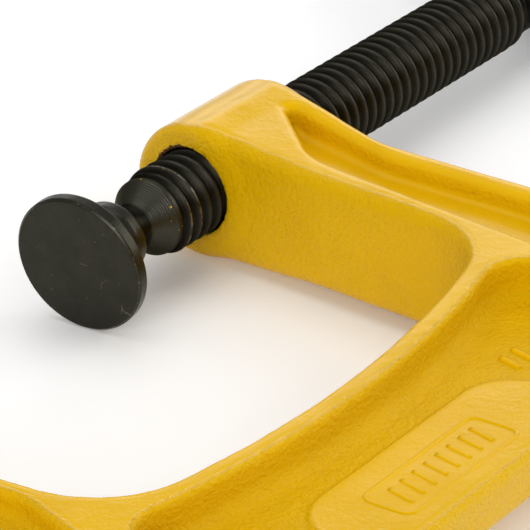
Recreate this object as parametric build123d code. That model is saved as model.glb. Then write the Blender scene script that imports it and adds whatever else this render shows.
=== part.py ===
from build123d import *
import os
from math import sqrt

# C clamp, 100 mm size: a cast T-section frame, a screw with a sliding tommy bar, and a swivel pad.
#
# X runs along the screw axis from the anvil towards the handle, Y points out of the throat, and Z is up
# with the clamp lying on its side. The origin is the centre of the anvil face, on the screw axis.
# All lengths are in millimetres and all angles in degrees.

# ---------------------------------------------------------------- driving dimensions
SCREW_DIAMETER = 16.0          # over the thread crests
THREAD_PITCH = 2.9
THREAD_DEPTH = 1.3             # rounded crests and roots
BORE_CLEARANCE = 0.06          # radial, between thread crests and the frame's bore
BALL_X = 89.1                  # centre of the screw's ball end, which sets how far the jaws are open

FLANGE_HALF = 11.0             # half the thickness of the arms and the spine's inner flange
WEB_HALF = 3.8                 # half the thickness of the spine's web
PLATE_HALF = 4.4               # half the thickness over the raised name-plate area
SPINE_OUTER_Y = -104.0

# ---------------------------------------------------------------- window of the C, in the XY plane
SCREW_ARM_TOP = (114.3, 0.0)   # inner face of the screw arm on the screw axis
SCREW_ARM_FOOT = (109.0, -62.0)
ANVIL_ARM_TOP = (-3.2, 0.0)
ANVIL_ARM_FOOT = (1.6, -62.0)
SPINE_ARC_CENTRE = (49.3, 118.3)
SPINE_ARC_RADIUS = 192.3
INNER_CORNER_RADIUS = 17.0
SCREW_ARM_OUTER_X = 129.8      # the arms' outer faces where they meet the spine
ANVIL_ARM_OUTER_X = -19.4
OUTER_CORNER_RADIUS = 30.0

# ---------------------------------------------------------------- bosses
BOSS_RADIUS = 12.5
BOSS_INNER_X = 113.7
BOSS_OUTER_X = 139.8
BOSS_CHAMFER = 1.2
ANVIL_BOSS_RADIUS = 12.0
ANVIL_BACK_X = -24.0
ANVIL_FACE_RADIUS = 11.0
ANVIL_FACE_STEP_X = -2.6       # where the round anvil face starts to stand out of the arm
ANVIL_FACE_CHAMFER = 0.6

# ---------------------------------------------------------------- recesses
ARM_RECESS_DEPTH = 3.9
SPINE_FLANGE_WIDTH = 4.3
SPINE_RECESS_CORNER = 7.0      # round corners where it meets the flange and the ribs
PLATE_CENTRE_Y = -94.4
PLATE_END_RADIUS = 9.7
PLATE_LEFT_X = 31.5            # centres of the plate's two round ends
PLATE_RIGHT_X = 71.0
WEB_FILLET = 3.0               # round foot of the recess walls

# ---------------------------------------------------------------- screw
CREST_RADIUS = SCREW_DIAMETER / 2
ROOT_RADIUS = CREST_RADIUS - THREAD_DEPTH
BALL_RADIUS = 5.0
NECK_RADIUS = 3.8
SHOULDER_RADIUS = 7.15
NECK_END_X = 94.6
FLARE_END_X = 100.9
THREAD_START_X = 101.9
THREAD_END_X = 218.0
RELIEF_RADIUS = 6.9
HEAD_START_X = 232.0
HEAD_END_X = 256.0
HEAD_RADIUS = 11.0
HEAD_CHAMFER = 1.5

# ---------------------------------------------------------------- pad
PAD_RADIUS = 12.65
PAD_RIM = 2.5
PAD_HEIGHT = 12.0
PAD_BEVEL = 0.5
BALL_DEPTH = 9.0               # pad face to ball centre
SOCKET_CLEARANCE = 0.06        # radial, round the ball
MOUTH_CLEARANCE = 0.75         # radial, round the neck, which lets the pad tilt
SOCKET_NECK_RADIUS = 6.2       # waist of the trumpet behind the disc
SOCKET_NECK_FROM_RIM = 4.7
SOCKET_LIP_RADIUS = 6.45
PAD_TILT_Y = 3.2               # how the loose pad hangs: turned towards the spine
PAD_TILT_Z = 5.5               # and downwards

# ---------------------------------------------------------------- tommy bar
BAR_RADIUS = 4.0
BAR_LENGTH = 122.0
BAR_HOLE_CLEARANCE = 0.3
BAR_X = (HEAD_START_X + HEAD_END_X) / 2
CAP_RADIUS = 6.3
CAP_LENGTH = 10.0
CAP_OVERHANG = 3.0             # how far a cap's end stands past the bar's end
CAP_ROUNDING = 3.0             # at its outer end
CAP_CHAMFER = 0.8              # at its inner end


def spine_arc_y(x, inset=0.0):
    """Y of the spine's inner edge at X, moved into the spine by inset."""
    radius = SPINE_ARC_RADIUS + inset
    return SPINE_ARC_CENTRE[1] - sqrt(radius ** 2 - (x - SPINE_ARC_CENTRE[0]) ** 2)


def arm_face_x(top, foot, y):
    """X of an arm's straight inner face at Y."""
    share = (y - top[1]) / (foot[1] - top[1])
    return top[0] + share * (foot[0] - top[0])


def rounded_face(points, radii):
    """A face inside straight runs through points, with a fillet radius at each point."""
    outline = FilletPolyline(*points, radius=radii, close=True)
    return make_face(outline)


def window_face():
    """The opening of the C: two flared arms, a gently bowed spine edge and round corners."""
    corner_y = -66.0           # about where the arms' faces would meet the spine without the round corners
    top_y = 40.0               # well past the ends of both arms
    right = arm_face_x(SCREW_ARM_TOP, SCREW_ARM_FOOT, corner_y)
    left = arm_face_x(ANVIL_ARM_TOP, ANVIL_ARM_FOOT, corner_y)
    right_corner = (right, spine_arc_y(right))
    left_corner = (left, spine_arc_y(left))
    middle = (SPINE_ARC_CENTRE[0], spine_arc_y(SPINE_ARC_CENTRE[0]))
    right_top = (arm_face_x(SCREW_ARM_TOP, SCREW_ARM_FOOT, top_y), top_y)
    left_top = (arm_face_x(ANVIL_ARM_TOP, ANVIL_ARM_FOOT, top_y), top_y)
    edges = [
        ThreePointArc(left_corner, middle, right_corner),
        Line(right_corner, right_top),
        Line(right_top, left_top),
        Line(left_top, left_corner),
    ]
    face = make_face(edges)
    corners = face.vertices().sort_by(Axis.Y)[:2]
    return fillet(corners, INNER_CORNER_RADIUS)


def outer_face():
    """The outside of the C up to the screw axis, where both arms end inside their bosses."""
    sharp = 0.01
    points = [
        (ANVIL_BACK_X + 1.0, 0.0),
        (ANVIL_ARM_OUTER_X - 0.5, -30.0),
        (ANVIL_ARM_OUTER_X, SPINE_OUTER_Y),
        (SCREW_ARM_OUTER_X, SPINE_OUTER_Y),
        (SCREW_ARM_OUTER_X + 1.4, -30.0),
        (BOSS_OUTER_X - 1.6, -8.0),
        (BOSS_OUTER_X - 1.6, 0.0),
    ]
    radii = [sharp, 40.0, OUTER_CORNER_RADIUS, OUTER_CORNER_RADIUS, 25.0, 6.0, sharp]
    return rounded_face(points, radii)


def arm_recess(points, radii):
    """Pocket cut into both faces of an arm."""
    pocket = extrude(rounded_face(points, radii), FLANGE_HALF)
    upper = Pos(0, 0, FLANGE_HALF - ARM_RECESS_DEPTH) * pocket
    return upper + mirror(upper, Plane.XY)


def screw_arm_recess():
    """Starts in a point beside the boss, then follows the arm down to the corner rib."""
    points = [
        (134.2, -5.0),
        (118.6, -22.5),
        (111.4, -76.0),
        (119.5, -87.5),
        (125.3, -76.0),
        (126.4, -34.0),
    ]
    return arm_recess(points, [1.2, 2.5, 3.5, 3.5, 12.0, 30.0])


def anvil_arm_recess():
    """The same pocket on the anvil arm, with a round end below the anvil."""
    points = [
        (-14.8, -18.0),
        (-6.6, -18.0),
        (-2.6, -55.0),
        (-7.5, -69.5),
        (-10.5, -84.0),
        (-14.8, -74.0),
    ]
    return arm_recess(points, [3.5, 3.5, 12.0, 10.0, 2.0, 8.0])


def spine_recess():
    """The side of the spine that is cut back to the web, which leaves the inner flange standing.

    At each end it stops at a rib that runs to the outer corner, and it fades out along the outer edge.
    """
    left_x = -2.0
    right_x = 103.5
    left_top = (left_x, spine_arc_y(left_x, SPINE_FLANGE_WIDTH))
    right_top = (right_x, spine_arc_y(right_x, SPINE_FLANGE_WIDTH))
    middle = (SPINE_ARC_CENTRE[0], spine_arc_y(SPINE_ARC_CENTRE[0], SPINE_FLANGE_WIDTH))
    past_edge_y = SPINE_OUTER_Y - 2.0
    beyond_y = SPINE_OUTER_Y - 5.0
    below = [
        right_top,
        (114.0, -95.0),
        (86.0, past_edge_y),
        (86.0, beyond_y),
        (20.0, beyond_y),
        (20.0, past_edge_y),
        (-5.5, -93.0),
        left_top,
    ]
    face = make_face([ThreePointArc(left_top, middle, right_top), Polyline(*below)])
    inner_corners = [vertex for vertex in face.vertices() if vertex.Y > past_edge_y + 1.0]
    face = fillet(inner_corners, SPINE_RECESS_CORNER)
    pocket = extrude(face, FLANGE_HALF)
    pocket = fillet(pocket.faces().sort_by(Axis.Z)[0].edges(), WEB_FILLET)
    upper = Pos(0, 0, WEB_HALF) * pocket
    return upper + mirror(upper, Plane.XY)


def name_plate():
    """The smooth raised plate with round ends, on both sides of the web."""
    middle = Pos((PLATE_LEFT_X + PLATE_RIGHT_X) / 2, PLATE_CENTRE_Y)
    outline = middle * SlotCenterToCenter(PLATE_RIGHT_X - PLATE_LEFT_X, 2 * PLATE_END_RADIUS)
    return extrude(outline, PLATE_HALF, both=True)


def cylinder_x(radius, start_x, end_x):
    """A cylinder on the screw axis."""
    body = Cylinder(radius, end_x - start_x, align=(Align.CENTER, Align.CENTER, Align.MIN))
    return Pos(start_x, 0, 0) * Rot(0, 90, 0) * body


def make_frame():
    """One casting: spine, two arms, threaded boss and anvil."""
    body = extrude(outer_face() - window_face(), FLANGE_HALF, both=True)
    body = body - spine_recess() + name_plate()
    body = body - screw_arm_recess() - anvil_arm_recess()
    screw_boss = cylinder_x(BOSS_RADIUS, BOSS_INNER_X, BOSS_OUTER_X)
    screw_boss = chamfer(screw_boss.edges().filter_by(GeomType.CIRCLE), BOSS_CHAMFER)
    anvil_boss = cylinder_x(ANVIL_BOSS_RADIUS, ANVIL_BACK_X, ANVIL_FACE_STEP_X)
    anvil_boss = chamfer(anvil_boss.edges().filter_by(GeomType.CIRCLE), BOSS_CHAMFER)
    anvil_face = cylinder_x(ANVIL_FACE_RADIUS, ANVIL_BACK_X + 5, 0)
    front_rim = anvil_face.edges().filter_by(GeomType.CIRCLE).sort_by(Axis.X)[-1]
    anvil_face = chamfer(front_rim, ANVIL_FACE_CHAMFER)
    body = body + screw_boss + anvil_boss + anvil_face
    return body - cylinder_x(CREST_RADIUS + BORE_CLEARANCE, BOSS_INNER_X - 2, BOSS_OUTER_X + 2)


def turned(profile):
    """A solid turned about the X axis from a closed face drawn in the upper XY half plane."""
    return revolve(profile, Axis.X, 360)


def make_thread():
    """Right-hand single-start thread: an off-centre circle carried along the axis while it turns."""
    section = Wire.make_circle(CREST_RADIUS - THREAD_DEPTH / 2, Plane((THREAD_DEPTH / 2, 0, 0)))
    length = THREAD_END_X - THREAD_START_X
    turns = length / THREAD_PITCH
    rod = Solid.extrude_linear_with_rotation(section, (0, 0, 0), (0, 0, length), 360 * turns)
    return Pos(THREAD_START_X, 0, 0) * Rot(0, 90, 0) * rod


def make_screw():
    """Ball end, neck, flare, thread, relief and cross-drilled head."""
    ball_meets_neck = BALL_X + sqrt(BALL_RADIUS ** 2 - NECK_RADIUS ** 2)
    flare_mid = (NECK_END_X + 4.4, NECK_RADIUS + 0.85)
    core_radius = ROOT_RADIUS - 0.5
    edges = [
        ThreePointArc((BALL_X - BALL_RADIUS, 0), (BALL_X, BALL_RADIUS), (ball_meets_neck, NECK_RADIUS)),
        Line((ball_meets_neck, NECK_RADIUS), (NECK_END_X, NECK_RADIUS)),
        ThreePointArc((NECK_END_X, NECK_RADIUS), flare_mid, (FLARE_END_X, SHOULDER_RADIUS)),
        Polyline(
            (FLARE_END_X, SHOULDER_RADIUS),
            (THREAD_START_X, SHOULDER_RADIUS),
            (THREAD_START_X + 0.5, core_radius),
            (THREAD_END_X - 0.5, core_radius),
            (THREAD_END_X - 0.1, RELIEF_RADIUS),
            (HEAD_START_X, RELIEF_RADIUS),
            (HEAD_START_X + HEAD_CHAMFER, HEAD_RADIUS),
            (HEAD_END_X - HEAD_CHAMFER, HEAD_RADIUS),
            (HEAD_END_X, HEAD_RADIUS - HEAD_CHAMFER),
            (HEAD_END_X, 0),
            (BALL_X - BALL_RADIUS, 0),
        ),
    ]
    body = turned(make_face(edges)) + make_thread()
    hole = Pos(BAR_X, 0, 0) * Rot(90, 0, 0) * Cylinder(BAR_RADIUS + BAR_HOLE_CLEARANCE, 4 * HEAD_RADIUS)
    return body - hole


def tilt_pad(solid):
    """Turn a pad part drawn straight on the screw axis to the angle at which the loose pad hangs."""
    turn = Rotation(0, -PAD_TILT_Z, PAD_TILT_Y)
    return Pos(BALL_X, 0, 0) * turn * Pos(-BALL_X, 0, 0) * solid


def make_swivel_pad():
    """Flat disc with a trumpet back that is crimped over the ball."""
    face_x = BALL_X - BALL_DEPTH
    rim_back_x = face_x + PAD_RIM
    neck = (rim_back_x + SOCKET_NECK_FROM_RIM, SOCKET_NECK_RADIUS)
    lip_x = face_x + PAD_HEIGHT
    lip_end = (lip_x, SOCKET_LIP_RADIUS - 1.0)
    edges = [
        Polyline(
            (face_x, 0),
            (face_x, PAD_RADIUS - PAD_BEVEL),
            (face_x + PAD_BEVEL, PAD_RADIUS),
            (rim_back_x, PAD_RADIUS),
        ),
        ThreePointArc((rim_back_x, PAD_RADIUS), (rim_back_x + 1.5, SOCKET_NECK_RADIUS + 2.3), neck),
        ThreePointArc(neck, (lip_x - 1.0, SOCKET_LIP_RADIUS), lip_end),
        Polyline(lip_end, (lip_x, 0), (face_x, 0)),
    ]
    body = turned(make_face(edges))
    socket = Pos(BALL_X, 0, 0) * Sphere(BALL_RADIUS + SOCKET_CLEARANCE)
    mouth = cylinder_x(NECK_RADIUS + MOUTH_CLEARANCE, BALL_X, lip_x + 1)
    return tilt_pad(body - socket - mouth)


def make_tommy_bar():
    """The sliding bar through the head."""
    return Pos(BAR_X, 0, 0) * Rot(90, 0, 0) * Cylinder(BAR_RADIUS, BAR_LENGTH)


def make_bar_cap(side):
    """A round-ended steel cap pressed on one end of the bar; side is -1 or 1."""
    cap = Cylinder(CAP_RADIUS, CAP_LENGTH)
    rims = cap.edges().filter_by(GeomType.CIRCLE)
    cap = fillet(rims.sort_by(Axis.Z)[-1], CAP_ROUNDING)
    rims = cap.edges().filter_by(GeomType.CIRCLE)
    cap = chamfer(rims.sort_by(Axis.Z)[0], CAP_CHAMFER)
    centre_y = BAR_LENGTH / 2 + CAP_OVERHANG - CAP_LENGTH / 2
    placed = Pos(BAR_X, 0, 0) * Rot(-90 * side, 0, 0) * Pos(0, 0, centre_y) * cap
    return placed - make_tommy_bar()


def main():
    nodes = {
        "frame": make_frame(),
        "screw": make_screw(),
        "swivel_pad": make_swivel_pad(),
        "tommy_bar": make_tommy_bar(),
        "bar_cap_left": make_bar_cap(-1),
        "bar_cap_right": make_bar_cap(1),
    }
    os.makedirs("parts", exist_ok=True)
    for name, solid in nodes.items():
        export_step(solid, f"parts/{name}.step")


main()
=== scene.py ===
from math import acos, atan2, ceil, cos, hypot, pi, radians, sin, sqrt, tan

import bpy
import numpy as np
from mathutils import Matrix, Vector, noise


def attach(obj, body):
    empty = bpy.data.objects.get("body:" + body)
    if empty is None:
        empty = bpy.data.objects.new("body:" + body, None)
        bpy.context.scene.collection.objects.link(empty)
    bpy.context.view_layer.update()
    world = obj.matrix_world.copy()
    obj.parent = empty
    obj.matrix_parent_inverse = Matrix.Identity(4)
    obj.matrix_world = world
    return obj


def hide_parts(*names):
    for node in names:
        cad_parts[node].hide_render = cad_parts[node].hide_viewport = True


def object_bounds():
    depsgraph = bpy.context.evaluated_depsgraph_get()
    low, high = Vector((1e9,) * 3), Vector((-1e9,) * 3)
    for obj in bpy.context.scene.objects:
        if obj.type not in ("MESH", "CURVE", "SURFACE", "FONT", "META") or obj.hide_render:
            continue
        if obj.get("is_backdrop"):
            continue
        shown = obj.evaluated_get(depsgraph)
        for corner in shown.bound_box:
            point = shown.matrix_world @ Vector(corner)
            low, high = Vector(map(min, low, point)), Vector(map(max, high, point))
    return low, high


# Looks of a 100 mm C clamp. Shapes are worked out in millimetres in the part's own frame (X along the
# screw from anvil to handle, Y out of the throat, Z up) and become metres when a mesh is made.

MM = 0.001

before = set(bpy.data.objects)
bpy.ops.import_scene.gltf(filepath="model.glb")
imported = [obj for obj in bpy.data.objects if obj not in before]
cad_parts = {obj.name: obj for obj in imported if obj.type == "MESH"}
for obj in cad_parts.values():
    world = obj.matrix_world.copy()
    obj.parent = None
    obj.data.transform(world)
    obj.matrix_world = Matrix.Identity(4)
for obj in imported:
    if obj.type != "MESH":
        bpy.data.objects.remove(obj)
cad_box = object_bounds()

# ---------------------------------------------------------------- dimensions shared with the CAD part
FLANGE_HALF = 11.0             # half the thickness of the arms and the spine's inner flange
WEB_HALF = 3.8                 # half the thickness of the spine's web
PLATE_HALF = 4.4               # half the thickness over the raised plate
ARM_FLOOR_HALF = 7.1           # half the thickness between the arms' recesses

SCREW_ARM_TOP = (114.3, 0.0)   # inner face of the screw arm on the screw axis
SCREW_ARM_FOOT = (109.0, -62.0)
ANVIL_ARM_TOP = (-3.2, 0.0)
ANVIL_ARM_FOOT = (1.6, -62.0)
BEYOND_SCREW_ARM = (117.72, 40.0)    # on the lines of the two inner faces, past the ends of the arms
BEYOND_ANVIL_ARM = (-6.3, 40.0)
SPINE_ARC_CENTRE = (49.3, 118.3)
SPINE_ARC_RADIUS = 192.3
INNER_CORNER_RADIUS = 17.0
SPINE_FLANGE_WIDTH = 4.3
SPINE_RECESS_CORNER = 7.0
PLATE_CENTRE_Y = -94.4
PLATE_END_RADIUS = 9.7
PLATE_LEFT_X = 31.5            # centres of the plate's two round ends
PLATE_RIGHT_X = 71.0

BOSS_RADIUS = 12.5
BOSS_INNER_X = 113.7
BOSS_OUTER_X = 139.8
ANVIL_BOSS_RADIUS = 12.0
ANVIL_BACK_X = -24.0
ANVIL_FACE_RADIUS = 11.0
ANVIL_FACE_STEP_X = -2.6

CREST_RADIUS = 8.0
THREAD_PITCH = 2.9
THREAD_DEPTH = 1.3
THREAD_START_X = 101.9
THREAD_END_X = 218.0
ROOT_RADIUS = CREST_RADIUS - THREAD_DEPTH
BALL_X = 89.1
BALL_RADIUS = 5.0
NECK_RADIUS = 3.8
SHOULDER_RADIUS = 7.15
RELIEF_RADIUS = 6.9
HEAD_START_X = 232.0
HEAD_END_X = 256.0
HEAD_RADIUS = 11.0

PAD_FACE_X = 80.1
PAD_RIM = 2.5
PAD_HEIGHT = 12.0
PAD_TILT_Y = radians(3.2)      # how the loose pad hangs: turned towards the spine
PAD_TILT_Z = radians(5.5)      # and downwards

BAR_X = (HEAD_START_X + HEAD_END_X) / 2
BAR_RADIUS = 4.0
BAR_HOLE_RADIUS = 4.3
BAR_HALF_LENGTH = 61.0
CAP_RADIUS = 6.3
CAP_INNER_END = 54.0           # both measured from the middle of the bar
CAP_OUTER_END = 64.0

# ---------------------------------------------------------------- dimensions of the looks alone
BORE_RADIUS = 8.12             # 0.06 mm wider than in the CAD part
BORE_START_X = 100.0           # between the pad and the boss, so that the bore misses the anvil
SPINE_THROAT_EDGE = 1.4        # how the throat's edge is rounded on the spine
ARM_THROAT_EDGE = 2.7          # and on the screw arm
BOSS_TAPER = 1.3               # how much thicker each side of the screw arm is at its boss
OUTER_EDGE = 2.2               # how the casting's other edges and fillets are rounded
WEB_FILLET = 3.0
WEB_RIM = 1.1
PLATE_EDGE = 0.6
PLATE_OUTER_EDGE = 2.0         # where the plate meets the outer edge of the spine
PLATE_FILLET = 0.8
RECESS_FILLET = 1.8
RECESS_RIM = 1.7
BOSS_EDGE = 1.7
ANVIL_EDGE = 1.5
ANVIL_FACE_EDGE = 0.6
ANVIL_STEP_FILLET = 0.8
END_FILLET = 2.0               # where the boss and the anvil meet their arms
BORE_EDGE = 0.35
CHIP_ANGLE = radians(60)       # where paint is chipped about the bore, from +Y towards +Z
AWAY_FROM_BORE = 50.0          # the bore_gap of points that aren't near the boss

FLARE_START_X = 96.4
FLARE_END_X = 100.6
GROOVE_HEIGHT = 0.022          # the fine turned grooves on the flare
GROOVE_PITCH = 0.34
THREAD_FADE_IN = 1.2           # lengths over which the thread rises at its start and runs out at its end
THREAD_FADE_OUT = 4.5
PAD_RADIUS = 12.8
PAD_BEVEL = 0.45
SOCKET_RADIUS = 5.08
CAP_GAP = 0.02                 # between a cap and the bar, so that no two faces lie in one place

SHARP = 0.01                   # radius of a corner that looks sharp
GRID_STEP = 0.55


def ramp(value, low, high):
    """0 up to low, 1 from high on and a straight rise between them."""
    return np.clip((value - low) / (high - low), 0, 1)


# ---------------------------------------------------------------- outlines in the XY plane
def arc_points(centre, radius, start, end, step=0.7):
    """Points on an arc from angle start to angle end."""
    count = max(2, ceil(abs(end - start) * radius / step))
    angles = np.linspace(start, end, count + 1)
    return [(centre[0] + radius * cos(a), centre[1] + radius * sin(a)) for a in angles]


def corner_arc(here, back, ahead, radius, step=0.7):
    """Points on the round corner at here, between unit vectors back and ahead along its two sides."""
    half_angle = acos(max(-1.0, min(1.0, back.dot(ahead)))) / 2
    run = radius / tan(half_angle)
    centre = here + (back + ahead).normalized() * (radius / sin(half_angle))
    first = here + back * run - centre
    last = here + ahead * run - centre
    start = atan2(first.y, first.x)
    turn = (atan2(last.y, last.x) - start + pi) % (2 * pi) - pi
    return arc_points(centre, radius, start, start + turn, step)


def rounded_outline(points, radii):
    """Closed outline through points, with a round corner of the given radius at each."""
    outline = []
    for i, radius in enumerate(radii):
        here = Vector(points[i])
        back = (Vector(points[i - 1]) - here).normalized()
        ahead = (Vector(points[(i + 1) % len(points)]) - here).normalized()
        outline += corner_arc(here, back, ahead, radius)
    return np.array(outline)


def outline_distance(outline, x, y):
    """Distance from each point to a closed outline, negative inside it."""
    shape = np.broadcast(x, y).shape
    px = np.broadcast_to(x, shape).ravel()
    py = np.broadcast_to(y, shape).ravel()
    nearest = np.full(px.size, 1e9)
    inside = np.zeros(px.size, bool)
    following = np.roll(outline, -1, axis=0)
    for (ax, ay), (bx, by) in zip(outline, following):
        dx = bx - ax
        dy = by - ay
        square = dx * dx + dy * dy
        if square < 1e-12:
            continue
        share = np.clip(((px - ax) * dx + (py - ay) * dy) / square, 0, 1)
        gap = (px - ax - share * dx) ** 2 + (py - ay - share * dy) ** 2
        np.minimum(nearest, gap, out=nearest)
        if ay != by:
            crosses = (ay > py) != (by > py)
            inside ^= crosses & (px < (py - ay) * dx / dy + ax)
    distance = np.sqrt(nearest)
    distance[inside] *= -1
    return distance.reshape(shape)


def spine_y(x, inset=0.0):
    """Y of the spine's bowed inner edge, moved into the spine by inset."""
    radius = SPINE_ARC_RADIUS + inset
    return SPINE_ARC_CENTRE[1] - sqrt(radius ** 2 - (x - SPINE_ARC_CENTRE[0]) ** 2)


def corner_centre(top, foot, radius, side):
    """Centre of the round corner between an arm's inner face and the spine, and the way from face to
    centre; side is 1 for the screw arm and -1 for the anvil arm."""
    along = (Vector(foot) - Vector(top)).normalized()
    inward = Vector((along.y, -along.x)) * side
    start = Vector(top) + inward * radius
    to_centre = start - Vector(SPINE_ARC_CENTRE)
    reach = SPINE_ARC_RADIUS - radius
    b = to_centre.dot(along)
    c = to_centre.length_squared - reach ** 2
    return start + along * (-b + sqrt(b * b - c)), inward


def window_outline():
    """The opening of the C, taken well past the ends of the arms."""
    radius = INNER_CORNER_RADIUS
    right, right_in = corner_centre(SCREW_ARM_TOP, SCREW_ARM_FOOT, radius, 1)
    left, left_in = corner_centre(ANVIL_ARM_TOP, ANVIL_ARM_FOOT, radius, -1)
    arc_centre = Vector(SPINE_ARC_CENTRE)
    right_end = atan2(*reversed(right - arc_centre))
    left_end = atan2(*reversed(left - arc_centre))
    right_start = atan2(-right_in.y, -right_in.x)
    left_start = atan2(-left_in.y, -left_in.x)
    if left_start > 0:
        left_start -= 2 * pi
    outline = [BEYOND_SCREW_ARM]
    outline += arc_points(right, radius, right_start, right_end)
    outline += arc_points(arc_centre, SPINE_ARC_RADIUS, right_end, left_end, 1.5)
    outline += arc_points(left, radius, left_end, left_start)
    outline.append(BEYOND_ANVIL_ARM)
    return np.array(outline)


def spine_recess_outline():
    """The thin web's outline, which passes outside the spine's outer edge."""
    left_x = -2.0
    right_x = 103.5
    corner_room = 9.0
    bow_x = [left_x, *np.linspace(left_x + corner_room, right_x - corner_room, 40), right_x]
    points = [(x, spine_y(x, SPINE_FLANGE_WIDTH)) for x in bow_x]
    points += [(114.0, -95.0), (86.0, -106.0), (86.0, -109.0)]
    points += [(20.0, -109.0), (20.0, -106.0), (-5.5, -93.0)]
    radii = [SHARP] * len(points)
    for corner in (0, len(bow_x) - 1, len(bow_x), len(points) - 1):
        radii[corner] = SPINE_RECESS_CORNER
    return rounded_outline(points, radii)


def plate_outline():
    """The raised plate, a bar with round ends."""
    left = PLATE_LEFT_X - PLATE_END_RADIUS
    right = PLATE_RIGHT_X + PLATE_END_RADIUS
    low = PLATE_CENTRE_Y - PLATE_END_RADIUS
    high = PLATE_CENTRE_Y + PLATE_END_RADIUS
    corners = [(left, high), (right, high), (right, low), (left, low)]
    return rounded_outline(corners, [PLATE_END_RADIUS] * 2 + [PLATE_END_RADIUS - SHARP] * 2)


OUTER = rounded_outline(
    [
        (-23.0, 0.0),
        (-19.9, -30.0),
        (-19.4, -104.0),
        (129.8, -104.0),
        (131.2, -30.0),
        (138.2, -8.0),
        (138.2, 0.0),
    ],
    [SHARP, 40.0, 30.0, 30.0, 25.0, 6.0, SHARP],
)
WINDOW = window_outline()
SPINE_RECESS = spine_recess_outline()
PLATE = plate_outline()
SCREW_ARM_RECESS = rounded_outline(
    [(134.2, -5.0), (118.6, -22.5), (111.4, -76.0), (119.5, -87.5), (125.3, -76.0), (126.4, -34.0)],
    [1.2, 14.0, 3.5, 3.5, 12.0, 30.0],
)
ANVIL_ARM_RECESS = rounded_outline(
    [(-14.8, -18.0), (-6.6, -18.0), (-2.6, -55.0), (-7.5, -69.5), (-10.5, -84.0), (-14.8, -74.0)],
    [3.5, 3.5, 12.0, 10.0, 2.0, 8.0],
)


# ---------------------------------------------------------------- solids as signed distances
def both(a, b, radius):
    """What lies inside a and b, with the edge between them rounded."""
    over_a = np.maximum(a + radius, 0)
    over_b = np.maximum(b + radius, 0)
    return np.minimum(np.maximum(a, b), -radius) + np.sqrt(over_a ** 2 + over_b ** 2)


def either(a, b, radius):
    """What lies inside a or b, with a fillet where they meet."""
    return -both(-a, -b, radius)


def cut(a, b, radius):
    """What lies inside a but not b, with the new edge rounded."""
    return both(a, -b, radius)


def cylinder(radius, start, end, edge, x, y, z):
    """A cylinder along X with rounded rims."""
    wall = np.sqrt(y ** 2 + z ** 2) - radius
    ends = np.maximum(start - x, x - end)
    return both(wall, ends, edge)


def frame_distance(x, y, z):
    """The whole casting."""
    up = np.abs(z)
    outer = outline_distance(OUTER, x, y)
    # the screw arm thickens a little as it runs into its boss
    screw_side = ramp(x, 60.0, 80.0)
    near_boss = ramp(y, -32.0, -4.0) * screw_side
    half = FLANGE_HALF + BOSS_TAPER * near_boss ** 2 * (3 - 2 * near_boss)
    body = both(outer, up - half, OUTER_EDGE)
    # the throat's edge is rounder on the screw arm than on the spine
    on_arm = ramp(y, -66.0, -48.0) * screw_side
    throat_edge = SPINE_THROAT_EDGE + (ARM_THROAT_EDGE - SPINE_THROAT_EDGE) * on_arm
    body = cut(body, outline_distance(WINDOW, x, y), throat_edge)
    web_pocket = both(outline_distance(SPINE_RECESS, x, y), WEB_HALF - up, WEB_FILLET)
    body = cut(body, web_pocket, WEB_RIM)
    plate = both(outline_distance(PLATE, x, y), up - PLATE_HALF, PLATE_EDGE)
    body = either(body, both(plate, outer, PLATE_OUTER_EDGE), PLATE_FILLET)
    for recess in (SCREW_ARM_RECESS, ANVIL_ARM_RECESS):
        pocket = both(outline_distance(recess, x, y), ARM_FLOOR_HALF - up, RECESS_FILLET)
        body = cut(body, pocket, RECESS_RIM)
    boss = cylinder(BOSS_RADIUS, BOSS_INNER_X, BOSS_OUTER_X, BOSS_EDGE, x, y, z)
    body = either(body, boss, END_FILLET)
    anvil = cylinder(ANVIL_BOSS_RADIUS, ANVIL_BACK_X, ANVIL_FACE_STEP_X, ANVIL_EDGE, x, y, z)
    face = cylinder(ANVIL_FACE_RADIUS, ANVIL_BACK_X + 5.0, 0.0, ANVIL_FACE_EDGE, x, y, z)
    body = either(body, either(anvil, face, ANVIL_STEP_FILLET), END_FILLET)
    bore = np.sqrt(y ** 2 + z ** 2) - BORE_RADIUS
    bore = np.maximum(bore, BORE_START_X - x)
    return cut(body, bore, BORE_EDGE)


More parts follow.
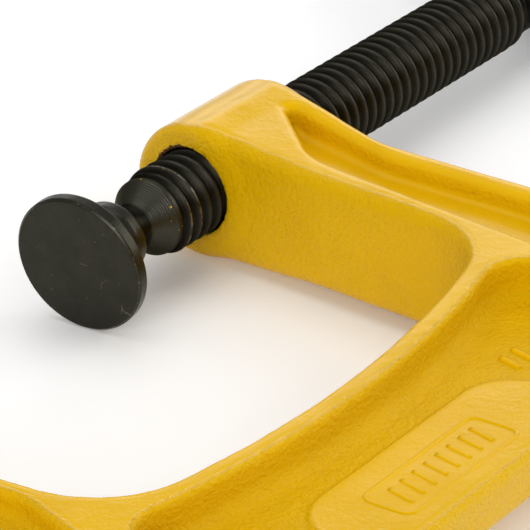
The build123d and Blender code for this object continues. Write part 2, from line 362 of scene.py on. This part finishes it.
def surface_net(values, origin, step):
    """Points and quads on the surface where a grid of signed distances passes zero."""
    inside = values < 0
    cells = tuple(n - 1 for n in values.shape)
    count = np.zeros(cells, np.int32)
    total = np.zeros(cells + (3,))
    crossings = []
    for axis in range(3):
        others = [a for a in range(3) if a != axis]
        value = np.moveaxis(values, axis, 0)
        within = np.moveaxis(inside, axis, 0)
        crossing = within[:-1] != within[1:]
        share = np.where(crossing, value[:-1] / np.where(crossing, value[:-1] - value[1:], 1), 0)
        crossings.append((crossing, within[:-1]))
        count_here = np.moveaxis(count, axis, 0)
        total_here = np.moveaxis(total, axis, 0)
        for u in (0, 1):
            for v in (0, 1):
                rows = slice(u, u + count_here.shape[1])
                columns = slice(v, v + count_here.shape[2])
                hit = crossing[:, rows, columns]
                count_here += hit
                total_here[..., axis] += share[:, rows, columns]
                total_here[..., others[0]] += hit * u
                total_here[..., others[1]] += hit * v
    used = count > 0
    index = np.full(cells, -1)
    index[used] = np.arange(used.sum())
    points = (np.argwhere(used) + total[used] / count[used][:, None]) * step + origin
    quads = []
    for axis in range(3):
        crossing, low_inside = crossings[axis]
        number = np.moveaxis(index, axis, 0)
        hit = crossing[:, 1:-1, 1:-1]
        corners = [number[:, :-1, :-1], number[:, 1:, :-1], number[:, 1:, 1:], number[:, :-1, 1:]]
        quad = np.stack([c[hit] for c in corners], axis=1)
        flip = low_inside[:, 1:-1, 1:-1][hit] == (axis == 1)
        quad[flip] = quad[flip][:, ::-1]
        quads.append(quad)
    return points, np.concatenate(quads)


def new_object(name, points_mm, faces):
    """A smooth-shaded mesh object from points in millimetres."""
    mesh = bpy.data.meshes.new(name)
    faces = [[int(corner) for corner in face] for face in faces]
    mesh.from_pydata((np.asarray(points_mm) * MM).tolist(), [], faces)
    mesh.validate()
    mesh.shade_smooth()
    made = bpy.data.objects.new(name, mesh)
    bpy.context.scene.collection.objects.link(made)
    return made


def store(piece, name, values):
    """Keep one number for each point of the mesh, for its material to read."""
    attribute = piece.data.attributes.new(name, "FLOAT", "POINT")
    attribute.data.foreach_set("value", np.asarray(values, np.float32))


def lumps(points, size, seed):
    """Smooth noise from -1 to 1 at each point; size is the width of a lump."""
    shift = Vector((seed * 17.3, seed * 5.9, seed * 11.1))
    return np.array([noise.noise(Vector(p) / size + shift) for p in points])


def make_frame():
    """The casting, with its sand-cast skin."""
    lows = np.array([-27.0, -108.0, -15.0])
    highs = np.array([143.0, 15.5, 15.0])
    axes = [np.arange(low, high, GRID_STEP) for low, high in zip(lows, highs)]
    x = axes[0][:, None, None]
    y = axes[1][None, :, None]
    z = axes[2][None, None, :]
    points, quads = surface_net(frame_distance(x, y, z), lows, GRID_STEP)
    piece = new_object("clamp_frame", points, quads)
    normals = np.zeros(len(points) * 3)
    piece.data.vertices.foreach_get("normal", normals)
    normals = normals.reshape(-1, 3)
    facing_up = np.abs(normals[:, 2])
    px, py, pz = points.T
    radius = np.sqrt(py ** 2 + pz ** 2)
    # the skin is strong on the walls and the web, and faint on the flat tops, the plate and the boss
    flat_top = ramp(facing_up, 0.9, 0.99)
    plate = ramp(-outline_distance(PLATE, px, py), 0.0, 1.0) * flat_top
    flange_top = flat_top * ramp(np.abs(pz), 9.5, 10.5)
    boss_outside = (radius > BOSS_RADIUS - 1.5) & (px > BOSS_INNER_X + 2) & (px < BOSS_OUTER_X + 1)
    boss_top = boss_outside * ramp(facing_up, 0.2, 0.7)
    smooth = np.maximum(np.maximum(plate, flange_top), boss_top)
    coarse = np.clip(1.0 - 0.9 * smooth, 0, 1)
    in_bore = (radius < BORE_RADIUS + 0.4) & (px > BOSS_INNER_X - 1) & (px < BOSS_OUTER_X + 1)
    skin = 0.10 * lumps(points, 9.0, 1) + 0.045 * coarse * lumps(points, 2.2, 2)
    skin += 0.03 * coarse * lumps(points, 1.1, 3)
    skin[in_bore] = 0
    moved = points + normals * skin[:, None]
    piece.data.vertices.foreach_set("co", (moved * MM).astype(np.float32).ravel())
    store(piece, "coarse", coarse)
    at_boss = (px > BOSS_INNER_X - 3) & (px < BOSS_OUTER_X + 3)
    store(piece, "bore_gap", np.where(at_boss, np.maximum(radius - BORE_RADIUS, 0), AWAY_FROM_BORE))
    # paint is chipped furthest from the bore at one place on its rim
    toward_chip = np.cos(np.arctan2(pz, py) - CHIP_ANGLE)
    store(piece, "chip_reach", 0.3 + 2.3 * np.clip(toward_chip, 0, 1) ** 4)
    piece.data.update()
    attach(piece, "frame")
    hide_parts("frame")
    return piece


def raised_line(path, base_z, half_width, height, closed=False):
    """Points and faces of a round-topped bead on a path in the XY plane, sunk a little into the casting."""
    sunk = 0.3
    around = [(cos(a), sin(a)) for a in np.linspace(0, pi, 9)]
    path = [Vector(p) for p in path]
    points = []
    for i, here in enumerate(path):
        ahead = path[(i + 1) % len(path)] if closed or i + 1 < len(path) else here
        behind = path[i - 1] if closed or i > 0 else here
        along = (ahead - behind).normalized()
        across = Vector((-along.y, along.x))
        for share, rise in around:
            place = here + across * (half_width * share)
            points.append((place.x, place.y, base_z - sunk + (height + sunk) * rise))
    size = len(around)
    faces = []
    for i in range(len(path) if closed else len(path) - 1):
        low = i * size
        high = (i + 1) % len(path) * size
        for k in range(size):
            n = (k + 1) % size
            faces.append((low + k, high + k, high + n, low + n))
    if not closed:
        faces.append(tuple(range(size)))
        faces.append(tuple(reversed(range(len(points) - size, len(points)))))
    return points, faces


def slanted_rib(x, low_y, length, base_z, half_width, height):
    """A short rib that leans 1.2 mm towards +X over its length."""
    path = [(x + 1.2 * share, low_y + length * share) for share in np.linspace(0, 1, 8)]
    return raised_line(path, base_z, half_width, height)


def make_plain_marks():
    """A plain border with slanted ribs on each side's plate, and two short ribs on the web."""
    border = rounded_outline([(34.0, -99.3), (65.0, -99.3), (65.0, -90.2), (34.0, -90.2)], [1.8] * 4)
    lines = [raised_line(border, PLATE_HALF, 0.45, 0.30, closed=True)]
    for x in np.linspace(37.6, 60.2, 8):
        lines.append(slanted_rib(x, -97.2, 4.9, PLATE_HALF, 0.55, 0.38))
    for x in (83.5, 87.0):
        lines.append(slanted_rib(x, -87.6, 4.4, WEB_HALF + 0.1, 0.6, 0.45))
    points = []
    faces = []
    for side in (1, -1):
        for line_points, line_faces in lines:
            start = len(points)
            points += [(x, y, z * side) for x, y, z in line_points]
            faces += [tuple(start + c for c in (f if side > 0 else reversed(f))) for f in line_faces]
    piece = new_object("frame_plain_marks", points, faces)
    store(piece, "bore_gap", [AWAY_FROM_BORE] * len(points))
    store(piece, "chip_reach", [1.0] * len(points))
    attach(piece, "frame")
    return piece


# ---------------------------------------------------------------- turned pieces
def turned_mesh(profile, turns):
    """Points and faces of a piece turned about X, from (x, radius) pairs that start and end on the axis.
    A radius may also be an array, with one number for each of the points round the piece."""
    angles = np.linspace(0, 2 * pi, turns, endpoint=False)
    points = []
    rings = []
    for x, radius in profile:
        start = len(points)
        if np.ndim(radius) == 0 and radius < 1e-6:
            points.append((x, 0.0, 0.0))
            rings.append([start])
        else:
            points += zip(np.full(turns, x), radius * np.cos(angles), radius * np.sin(angles))
            rings.append(range(start, start + turns))
    faces = []
    for first, second in zip(rings, rings[1:]):
        for i in range(turns):
            j = (i + 1) % turns
            if len(first) == 1:
                faces.append((first[0], second[j], second[i]))
            elif len(second) == 1:
                faces.append((first[i], first[j], second[0]))
            else:
                faces.append((first[i], first[j], second[j], second[i]))
    return points, faces


def rounded_profile(points, radii, step=0.12):
    """An (x, radius) profile with a round corner at each inner point."""
    profile = [tuple(points[0])]
    for i, radius in enumerate(radii, 1):
        here = Vector(points[i])
        back = Vector(points[i - 1]) - here
        ahead = Vector(points[i + 1]) - here
        half_angle = back.angle(ahead) / 2
        run = min(radius / tan(half_angle), 0.49 * back.length, 0.49 * ahead.length)
        fitting = run * tan(half_angle)
        profile += corner_arc(here, back.normalized(), ahead.normalized(), fitting, step)
    profile.append(tuple(points[-1]))
    return profile


def spaced(profile, step):
    """The same profile with no gap between points longer than step."""
    points = [profile[0]]
    for (ax, ar), (bx, br) in zip(profile, profile[1:]):
        count = max(1, ceil(hypot(bx - ax, br - ar) / step))
        for i in range(1, count + 1):
            points.append((ax + (bx - ax) * i / count, ar + (br - ar) * i / count))
    return points


def make_pad():
    """The disc with its trumpet back, open at the socket, hanging at its loose angle."""
    mouth_radius = 4.6
    rim_x = PAD_FACE_X + PAD_RIM
    lip_x = PAD_FACE_X + PAD_HEIGHT
    corners = [
        (PAD_FACE_X, 0.0),
        (PAD_FACE_X, PAD_RADIUS - PAD_BEVEL),
        (PAD_FACE_X + PAD_BEVEL, PAD_RADIUS),
        (rim_x, PAD_RADIUS),
        (rim_x + 0.9, 9.0),
        (rim_x + 4.3, 5.9),
        (lip_x - 2.6, 6.9),
        (lip_x - 0.3, 6.7),
        (lip_x, mouth_radius),
        (lip_x - 1.2, mouth_radius),
    ]
    outside = rounded_profile(corners, [0.12, 0.12, 0.5, 2.0, 1.6, 1.2, 0.8, 0.3])[:-1]
    angles = np.linspace(0.42 * pi, pi, 40)
    socket = [(BALL_X + SOCKET_RADIUS * cos(a), SOCKET_RADIUS * sin(a)) for a in angles]
    socket[-1] = (BALL_X - SOCKET_RADIUS, 0.0)
    points, faces = turned_mesh(spaced(outside + socket, 0.5), 192)
    on_edge = [hypot(y, z) > PAD_RADIUS - 0.35 and x < PAD_FACE_X + 0.4 for x, y, z in points]
    tilt = Matrix.Rotation(PAD_TILT_Y, 4, "Z") @ Matrix.Rotation(-PAD_TILT_Z, 4, "Y")
    place = Matrix.Translation((BALL_X, 0, 0)) @ tilt @ Matrix.Translation((-BALL_X, 0, 0))
    piece = new_object("swivel_pad_turned", [place @ Vector(p) for p in points], faces)
    store(piece, "edge", on_edge)
    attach(piece, "swivel_pad")
    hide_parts("swivel_pad")
    return piece


def thread_radius(x, angles):
    """Radii round a right-hand thread with round crests and roots, which fades in and out at its ends."""
    phase = 2 * pi * (x - THREAD_START_X) / THREAD_PITCH - angles
    share = min(1.0, (x - THREAD_START_X) / THREAD_FADE_IN, (THREAD_END_X - x) / THREAD_FADE_OUT)
    return ROOT_RADIUS + THREAD_DEPTH * share * (0.5 + 0.5 * np.cos(phase))


def groove_rise(x):
    """How far the fine turned grooves on the flare stand out at X."""
    if not FLARE_START_X + 0.2 < x < THREAD_START_X - 0.3:
        return 0.0
    return GROOVE_HEIGHT * sin(2 * pi * x / GROOVE_PITCH)


def ball_and_flare():
    """Profile of the screw from the tip of its ball to the start of its thread."""
    ball_meets_neck = BALL_X + sqrt(BALL_RADIUS ** 2 - NECK_RADIUS ** 2)
    angles = np.linspace(pi, acos((ball_meets_neck - BALL_X) / BALL_RADIUS), 40)
    ball = [(BALL_X + BALL_RADIUS * cos(a), BALL_RADIUS * sin(a)) for a in angles]
    ball[0] = (BALL_X - BALL_RADIUS, 0.0)
    corners = [
        (ball_meets_neck, NECK_RADIUS),
        (FLARE_START_X, NECK_RADIUS),
        (FLARE_END_X, SHOULDER_RADIUS),
        (THREAD_START_X - 0.2, SHOULDER_RADIUS),
        (THREAD_START_X, ROOT_RADIUS),
    ]
    flare = rounded_profile(corners, [6.0, 0.5, 0.25])
    return [(x, radius + groove_rise(x)) for x, radius in spaced(ball + flare[1:], 0.085)]


def relief_and_head():
    """Profile of the screw from just past its thread to the end of its head."""
    corners = [
        (THREAD_END_X, RELIEF_RADIUS),
        (HEAD_START_X, RELIEF_RADIUS),
        (HEAD_START_X + 1.5, HEAD_RADIUS),
        (HEAD_END_X, HEAD_RADIUS),
        (HEAD_END_X, 0.0),
    ]
    return spaced(rounded_profile(corners, [0.8, 1.2, 1.6])[1:], 0.8)


def make_screw():
    """Ball end, neck, flare, thread, relief and cross-drilled head."""
    turns = 96
    angles = np.linspace(0, 2 * pi, turns, endpoint=False)
    step = THREAD_PITCH / 14
    thread_x = np.arange(THREAD_START_X + step, THREAD_END_X, step)
    thread = [(x, thread_radius(x, angles)) for x in thread_x]
    points, faces = turned_mesh(ball_and_flare() + thread + relief_and_head(), turns)
    piece = new_object("screw_threaded", points, faces)
    drill_cross_hole(piece)
    x, y, z = (np.array([vertex.co for vertex in piece.data.vertices]) / MM).T
    on_thread = (x > THREAD_START_X) & (x < THREAD_END_X)
    store(piece, "crest", on_thread * ramp(np.hypot(y, z), 7.25, 7.95) ** 2)
    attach(piece, "screw")
    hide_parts("screw")
    return piece


def across_head(points, side=1):
    """Points of a piece turned about X, set along Y through the screw's head; side is where +X goes."""
    return [(BAR_X - y * side, x * side, z) for x, y, z in points]


def drill_cross_hole(piece):
    """Cut the tommy bar's hole through the head."""
    reach = HEAD_RADIUS + 3.0
    profile = [(-reach, 0.0), (-reach, BAR_HOLE_RADIUS), (reach, BAR_HOLE_RADIUS), (reach, 0.0)]
    points, faces = turned_mesh(spaced(profile, 4.0), 64)
    drill = new_object("drill", across_head(points), faces)
    hole = piece.modifiers.new("hole", "BOOLEAN")
    hole.operation = "DIFFERENCE"
    hole.solver = "EXACT"
    hole.object = drill
    graph = bpy.context.evaluated_depsgraph_get()
    drilled = bpy.data.meshes.new_from_object(piece.evaluated_get(graph))
    piece.modifiers.clear()
    piece.data = drilled
    bpy.data.objects.remove(drill)


def make_bar():
    """The sliding bar through the head."""
    half = BAR_HALF_LENGTH
    corners = [(-half, 0.0), (-half, BAR_RADIUS), (half, BAR_RADIUS), (half, 0.0)]
    points, faces = turned_mesh(spaced(rounded_profile(corners, [0.6, 0.6]), 2.0), 64)
    piece = new_object("tommy_bar_round", across_head(points), faces)
    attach(piece, "tommy_bar")
    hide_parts("tommy_bar")
    return piece


def make_cap(side):
    """A round-ended cap pressed on one end of the bar; side is -1 or 1."""
    name = "bar_cap_right" if side > 0 else "bar_cap_left"
    bottom = BAR_HALF_LENGTH + CAP_GAP
    inside = BAR_RADIUS + CAP_GAP
    corners = [
        (CAP_INNER_END, inside),
        (CAP_INNER_END, CAP_RADIUS),
        (CAP_OUTER_END, CAP_RADIUS),
        (CAP_OUTER_END, 0.0),
    ]
    profile = [(bottom, 0.0), (bottom, inside)] + rounded_profile(corners, [0.8, 3.4])
    points, faces = turned_mesh(spaced(profile, 0.8), 96)
    piece = new_object(name + "_pressed", across_head(points, side), faces)
    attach(piece, "tommy_bar")
    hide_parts(name)
    return piece


# ---------------------------------------------------------------- materials
WHITE = (1.0, 1.0, 1.0, 1)

DEEP_ENAMEL = (0.74, 0.422, 0.0008, 1)
LIGHT_ENAMEL = (0.77, 0.444, 0.0010, 1)
ENAMEL_SHINE = (1.0, 0.75, 0.05, 1)
RUST = (0.060, 0.018, 0.005, 1)
BARE_CASTING = (0.010, 0.007, 0.005, 1)

DARK_STEEL = (0.009, 0.0084, 0.0055, 1)
PLAIN_STEEL = (0.014, 0.0130, 0.0090, 1)
PAD_STEEL = (0.026, 0.0250, 0.0175, 1)
LIGHT_STEEL = (0.033, 0.0310, 0.0220, 1)
# crest colour: partly steel polished by wear, partly a painted highlight
CREST_AND_PAINTED_HIGHLIGHT_STEEL = (0.046, 0.042, 0.033, 1)
# flare colour: partly its turned steel, partly a painted highlight
FLARE_AND_PAINTED_HIGHLIGHT_STEEL = (0.050, 0.0480, 0.0370, 1)
# pad edge colour: partly wear, partly a painted highlight on the bevel
EDGE_STEEL = (0.070, 0.067, 0.055, 1)
SCRATCHED_STEEL = (0.10, 0.095, 0.075, 1)
WORN_EDGE_STEEL = (0.15, 0.14, 0.11, 1)
BRIGHT_STEEL = (0.22, 0.20, 0.15, 1)
GLANCING_SHINE = (0.35, 0.34, 0.30, 1)
STRAY_PAINT = (0.70, 0.38, 0.01, 1)


class Shader:
    """Short names for making and joining the nodes of one material."""

    def __init__(self, name):
        self.material = bpy.data.materials.new(name)
        self.material.use_nodes = True
        self.tree = self.material.node_tree
        self.surface = self.tree.nodes["Principled BSDF"]
        self.place = self.node("ShaderNodeTexCoord").outputs["Object"]

    def node(self, kind, **settings):
        made = self.tree.nodes.new(kind)
        for name, value in settings.items():
            setattr(made, name, value)
        return made

    def join(self, value, socket):
        """Link an output, or set a plain number or colour."""
        if isinstance(value, bpy.types.NodeSocket):
            self.tree.links.new(value, socket)
        else:
            socket.default_value = value

    def finish(self, name, value):
        """Give one of the surface's own sockets its value."""
        self.join(value, self.surface.inputs[name])

    def attribute(self, name):
        return self.node("ShaderNodeAttribute", attribute_name=name).outputs["Fac"]

    def noise(self, size_mm, detail=3.0, rough=0.55, place=None):
        made = self.node("ShaderNodeTexNoise")
        self.join(self.place if place is None else place, made.inputs["Vector"])
        made.inputs["Scale"].default_value = 1.0 / (size_mm * MM)
        made.inputs["Detail"].default_value = detail
        made.inputs["Roughness"].default_value = rough
        return made.outputs["Fac"]

    def cells(self, size_mm):
        """Distance from the middle of the nearest random cell, and that cell's own random numbers."""
        made = self.node("ShaderNodeTexVoronoi")
        self.join(self.place, made.inputs["Vector"])
        made.inputs["Scale"].default_value = 1.0 / (size_mm * MM)
        numbers = self.node("ShaderNodeSeparateColor")
        self.join(made.outputs["Color"], numbers.inputs[0])
        return made.outputs["Distance"], numbers.outputs

    def math(self, operation, a, b=0.0):
        made = self.node("ShaderNodeMath", operation=operation)
        self.join(a, made.inputs[0])
        self.join(b, made.inputs[1])
        return made.outputs[0]

    def times(self, a, b):
        return self.math("MULTIPLY", a, b)

    def between(self, value, low, high, out_low=0.0, out_high=1.0):
        """Map low..high of value onto out_low..out_high, clamped and eased."""
        made = self.node("ShaderNodeMapRange", interpolation_type="SMOOTHSTEP")
        self.join(value, made.inputs["Value"])
        self.join(low, made.inputs["From Min"])
        self.join(high, made.inputs["From Max"])
        self.join(out_low, made.inputs["To Min"])
        self.join(out_high, made.inputs["To Max"])
        return made.outputs["Result"]

    def band(self, place, start, full, fading, end):
        """1 from full to fading and eased to 0 at start and end, which are places in millimetres."""
        rise = self.between(place, start * MM, full * MM)
        fall = self.between(place, end * MM, fading * MM)
        return self.times(rise, fall)

    def mix(self, share, a, b):
        made = self.node("ShaderNodeMix", data_type="RGBA")
        self.join(share, made.inputs[0])
        self.join(a, made.inputs[6])
        self.join(b, made.inputs[7])
        return made.outputs[2]

    def bump(self, height, depth_mm, after=None):
        made = self.node("ShaderNodeBump")
        made.inputs["Strength"].default_value = 1.0
        made.inputs["Distance"].default_value = depth_mm * MM
        self.join(height, made.inputs["Height"])
        if after is not None:
            self.join(after, made.inputs["Normal"])
        return made.outputs["Normal"]


def enamel():
    """Thick glossy yellow enamel over a sand casting."""
    look = Shader("enamel")
    coarse = look.attribute("coarse")
    bore_gap = look.attribute("bore_gap")
    tint = look.mix(look.between(look.noise(14.0, 2.0), 0.35, 0.65), DEEP_ENAMEL, LIGHT_ENAMEL)
    # dark specks of bare casting, few and tiny
    from_middle, numbers = look.cells(2.6)
    chosen = look.between(numbers["Red"], 0.985, 0.987)
    speck = look.times(look.times(look.between(from_middle, 0.10, 0.06), chosen), coarse)
    # chipped, ragged paint round the bore
    fading = look.math("DIVIDE", bore_gap, look.attribute("chip_reach"))
    chip = look.between(look.math("SUBTRACT", look.noise(1.0, 5.0, 0.7), fading), 0.16, 0.22)
    rim = look.between(bore_gap, 0.14, 0.04)
    dark = look.math("MAXIMUM", look.math("MAXIMUM", rim, chip), speck)
    look.finish("Base Color", look.mix(dark, tint, look.mix(rim, RUST, BARE_CASTING)))
    look.finish("Roughness", look.between(look.noise(0.55, 4.0, 0.6), 0.2, 0.8, 0.13, 0.22))
    look.finish("Specular Tint", ENAMEL_SHINE)
    look.finish("Specular IOR Level", 0.30)
    sand = look.bump(look.times(look.noise(0.9, 4.0, 0.6), coarse), 0.62)
    peel = look.bump(look.noise(3.0, 1.0), 0.06, sand)
    look.finish("Normal", look.bump(look.times(dark, -1.0), 0.08, peel))
    return look.material


def worn_and_highlit_screw(look, x, colour):
    """Crests and flare painted lighter, partly for steel polished by wear and turning and partly as painted
    highlights, with bright rubbed places and flecks of paint at the start of the thread.
    """
    # the thread's flanks mirror little at a glancing angle, which leaves them dark between the crests
    look.finish("Specular Tint", GLANCING_SHINE)
    crest = look.attribute("crest")
    # crests painted lighter: partly steel polished by wear, partly a painted highlight along each crest
    colour = look.mix(crest, colour, CREST_AND_PAINTED_HIGHLIGHT_STEEL)
    # the flare painted lighter: partly its turned steel, partly a painted highlight
    colour = look.mix(look.band(x, 96.2, 97.0, 101.6, 102.0), colour, FLARE_AND_PAINTED_HIGHLIGHT_STEEL)
    rub = look.times(look.between(crest, 0.80, 1.0), look.between(look.noise(2.6, 6.0, 0.75), 0.44, 0.56))
    rub = look.times(rub, look.between(x, 108.5 * MM, 104.5 * MM))
    colour = look.mix(rub, colour, BRIGHT_STEEL)
    from_middle, numbers = look.cells(1.4)
    fleck = look.times(look.between(from_middle, 0.16, 0.11), look.between(numbers["Green"], 0.60, 0.61))
    fleck = look.times(fleck, look.band(x, 99.0, 100.5, 103.5, 106.0))
    return look.mix(fleck, colour, STRAY_PAINT)


def rubbed_and_highlit_pad(look, x, colour):
    """An edge painted lighter, partly for wear and partly as a painted highlight on the bevel, with worn
    places, and thin scratches and dots all over.
    """
    edge = look.attribute("edge")
    wear = look.times(edge, look.between(look.noise(1.1, 5.0, 0.75), 0.52, 0.66))
    # the bevelled edge painted lighter all round: partly wear, partly a painted highlight on the bevel
    colour = look.mix(look.times(edge, 0.35), colour, EDGE_STEEL)
    colour = look.mix(wear, colour, WORN_EDGE_STEEL)
    line = look.math("ABSOLUTE", look.math("SUBTRACT", look.noise(9.0, 1.0), 0.5))
    here_and_there = look.between(look.noise(4.0, 2.0), 0.58, 0.64)
    scratch = look.times(look.between(line, 0.004, 0.001), here_and_there)
    dot = look.between(look.noise(0.5, 1.0), 0.765, 0.80)
    return look.mix(look.math("MAXIMUM", scratch, dot), colour, SCRATCHED_STEEL)


def black_oxide(name, along, darker, lighter, wear=None, turned_depth=0.02):
    """Black oxide on turned steel, with fine lines round the frame's X or Y axis, whichever along says."""
    look = Shader(name)
    parts = look.node("ShaderNodeSeparateXYZ")
    look.join(look.place, parts.inputs[0])
    other = "Y" if along == "X" else "X"
    squares = [look.math("POWER", parts.outputs[axis], 2.0) for axis in (other, "Z")]
    outward = look.math("SQRT", look.math("ADD", *squares))
    flat = look.node("ShaderNodeCombineXYZ")
    look.join(parts.outputs[along], flat.inputs[0])
    look.join(outward, flat.inputs[1])
    rings = look.noise(0.42, 3.0, 0.7, flat.outputs[0])
    dust = look.noise(0.5, 5.0, 0.7)
    colour = look.mix(look.between(look.noise(4.0, 4.0, 0.6), 0.3, 0.7), darker, lighter)
    # wear marks, and on the screw and the pad also painted highlights
    if wear is not None:
        colour = wear(look, parts.outputs["X"], colour)
    look.finish("Base Color", colour)
    look.finish("Metallic", 0.9)
    look.finish("Roughness", look.between(dust, 0.3, 0.75, 0.26, 0.40))
    look.finish("Normal", look.bump(dust, 0.012, look.bump(rings, turned_depth)))
    return look.material


def pale_floor():
    """Matt, nearly white and very slightly uneven, with a faint glow that keeps it pale."""
    look = Shader("pale_floor")
    pale = 0.97
    darker = 0.985 * pale
    patches = look.noise(120.0, 2.0)
    look.finish("Base Color", look.mix(patches, (pale, pale, pale, 1), (darker, darker, darker, 1)))
    look.finish("Roughness", 0.7)
    look.finish("Emission Color", WHITE)
    look.finish("Emission Strength", 0.10)
    return look.material


# ---------------------------------------------------------------- light, floor and camera, in metres
FLOOR_HALF = 4.0
WORLD_STRENGTH = 0.42
LAMP_AIM = (0.07, -0.04, 0.0)
LAMPS = [                      # name, place, width and height, power in watts
    ("overhead", (0.15, 0.25, 1.3), (1.4, 1.4), 7.2),
    ("back", (1.31, 0.51, 0.47), (1.4, 0.50), 3.5),
    ("front_right", (0.75, -0.75, 0.50), (0.9, 0.7), 5.0),
    ("beside_camera", (-1.08, -0.42, 0.50), (0.9, 0.7), 8.0),
]

CAMERA_PLACE = (-0.36177, -0.35738, 0.28171)
CAMERA_DIRECTION = (0.72696, 0.52187, -0.44631)
CAMERA_ROLL = radians(-0.69)
CAMERA_LENS = 250.4            # in millimetres, on a sensor 36 mm wide
CAMERA_SENSOR = 36.0


def make_floor(height):
    mesh = bpy.data.meshes.new("floor")
    corners = [(x * FLOOR_HALF, y * FLOOR_HALF, height) for x, y in ((-1, -1), (1, -1), (1, 1), (-1, 1))]
    mesh.from_pydata(corners, [], [(0, 1, 2, 3)])
    floor = bpy.data.objects.new("floor", mesh)
    bpy.context.scene.collection.objects.link(floor)
    floor.data.materials.append(pale_floor())
    floor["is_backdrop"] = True


def facing(direction):
    """The turn that points a lamp or a camera along direction, with its top up."""
    return Vector(direction).to_track_quat("-Z", "Y")


def make_lamp(name, place, size, power):
    data = bpy.data.lights.new(name, "AREA")
    data.shape = "RECTANGLE"
    data.size, data.size_y = size
    data.energy = power
    lamp = bpy.data.objects.new(name, data)
    lamp.location = place
    lamp.rotation_euler = facing(Vector(LAMP_AIM) - Vector(place)).to_euler()
    bpy.context.scene.collection.objects.link(lamp)


def make_light():
    """An even white world with four soft lamps."""
    world = bpy.data.worlds.new("studio")
    bpy.context.scene.world = world
    world.use_nodes = True
    background = world.node_tree.nodes["Background"]
    background.inputs["Color"].default_value = WHITE
    background.inputs["Strength"].default_value = WORLD_STRENGTH
    for lamp in LAMPS:
        make_lamp(*lamp)


def make_camera():
    data = bpy.data.cameras.new("camera")
    data.sensor_width = CAMERA_SENSOR
    data.lens = CAMERA_LENS
    data.clip_start = 0.05
    data.clip_end = 20.0
    camera = bpy.data.objects.new("camera", data)
    camera.location = CAMERA_PLACE
    roll = Matrix.Rotation(CAMERA_ROLL, 3, "Z")
    camera.rotation_euler = (facing(CAMERA_DIRECTION).to_matrix() @ roll).to_euler()
    bpy.context.scene.collection.objects.link(camera)
    bpy.context.scene.camera = camera


# ---------------------------------------------------------------- the scene
make_camera()
yellow_enamel = enamel()
for piece in (make_frame(), make_plain_marks()):
    piece.data.materials.append(yellow_enamel)
screw_finish = black_oxide("black_oxide_screw", "X", DARK_STEEL, PLAIN_STEEL, worn_and_highlit_screw, 0.07)
make_screw().data.materials.append(screw_finish)
pad_finish = black_oxide("black_oxide_pad", "X", PAD_STEEL, LIGHT_STEEL, rubbed_and_highlit_pad)
make_pad().data.materials.append(pad_finish)
bar_finish = black_oxide("black_oxide_bar", "Y", DARK_STEEL, PLAIN_STEEL)
for piece in (make_bar(), make_cap(-1), make_cap(1)):
    piece.data.materials.append(bar_finish)
# the lowest point is the rim of the tilted pad
make_floor(min(cad_box[0].z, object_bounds()[0].z))
make_light()
bpy.context.scene.view_settings.view_transform = "Standard"
